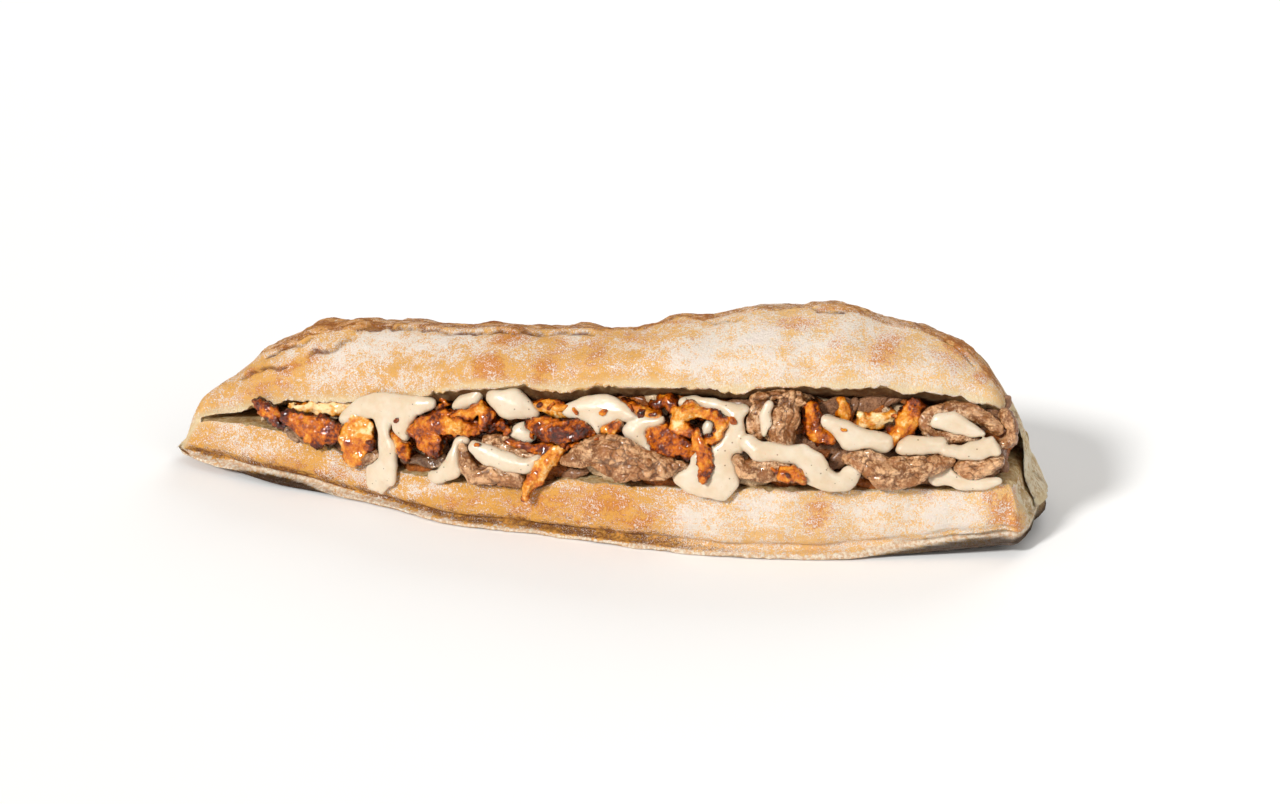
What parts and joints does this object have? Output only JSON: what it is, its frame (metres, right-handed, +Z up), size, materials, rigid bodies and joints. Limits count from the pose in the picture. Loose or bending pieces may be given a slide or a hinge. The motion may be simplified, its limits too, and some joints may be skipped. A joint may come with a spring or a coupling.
{
  "type": "submarine sandwich",
  "caption": "Rustic loaf slit along its front and opened on its back crust, filled with strips of beef and fried onion under thick cream sauce.",
  "frame": {"origin": "under the middle of the loaf, on the surface that it lies on", "axes": "+X along the loaf from its closed tip to its open end, -Y out of the open mouth at the front, +Z up"},
  "size_m": [0.2906, 0.0926, 0.0744],
  "materials": {
    "crust": "dry baked crust, golden brown with a dusting of pale flour, cream crumb inside",
    "beef": "moist cooked meat with a fibrous grain",
    "fried_onion": "oily, translucent amber with burnt edges",
    "cream_sauce": "thick glossy cream sauce with specks of pepper",
    "filling": "moist heap of meat and onion in shadow"
  },
  "bodies": {
    "root": {"bread": "crust", "onion_scrap_middle": "fried_onion", "onion_hanging_right": "fried_onion", "onion_hanging_left": "fried_onion", "beef_low_right": "beef", "beef_folded": "beef", "onion_ring": "fried_onion", "beef_low_left": "beef", "beef_low_middle": "beef", "onion_crisp": "fried_onion", "onion_scrap_centre": "fried_onion", "onion_curled": "fried_onion", "beef_low_end": "beef", "onion_leaf": "fried_onion", "onion_flat": "fried_onion", "onion_wide": "fried_onion", "beef_scrap_left": "beef", "onion_burnt": "fried_onion", "onion_lobe_left": "fried_onion", "onion_orange_strip": "fried_onion", "beef_slice_end": "beef", "beef_lump_left": "beef", "onion_sliver": "fried_onion", "onion_amber": "fried_onion", "beef_nugget_end": "beef", "onion_dark_scrap": "fried_onion", "onion_top_middle": "fried_onion", "beef_shredded": "beef", "beef_dark_left": "beef", "beef_scrap_tip": "beef", "onion_tip": "fried_onion", "onion_back_strip": "fried_onion", "onion_loop": "fried_onion", "onion_curl_back": "fried_onion", "onion_pale": "fried_onion", "onion_back_bit": "fried_onion", "onion_translucent": "fried_onion", "sauce_ladle": "cream_sauce", "sauce_string": "cream_sauce", "sauce_dollop": "cream_sauce", "sauce_pocket": "cream_sauce", "sauce_run_left": "cream_sauce", "sauce_over_beef": "cream_sauce", "sauce_crest": "cream_sauce", "sauce_centre": "cream_sauce", "sauce_pool_middle": "cream_sauce", "sauce_in_ring": "cream_sauce", "sauce_ribbon": "cream_sauce", "sauce_finger": "cream_sauce", "sauce_round_end": "cream_sauce", "sauce_on_slice": "cream_sauce", "sauce_hook_end": "cream_sauce", "sauce_pool_end": "cream_sauce", "sauce_on_shreds": "cream_sauce", "filling_core": "filling"}
  },
  "joints": []
}
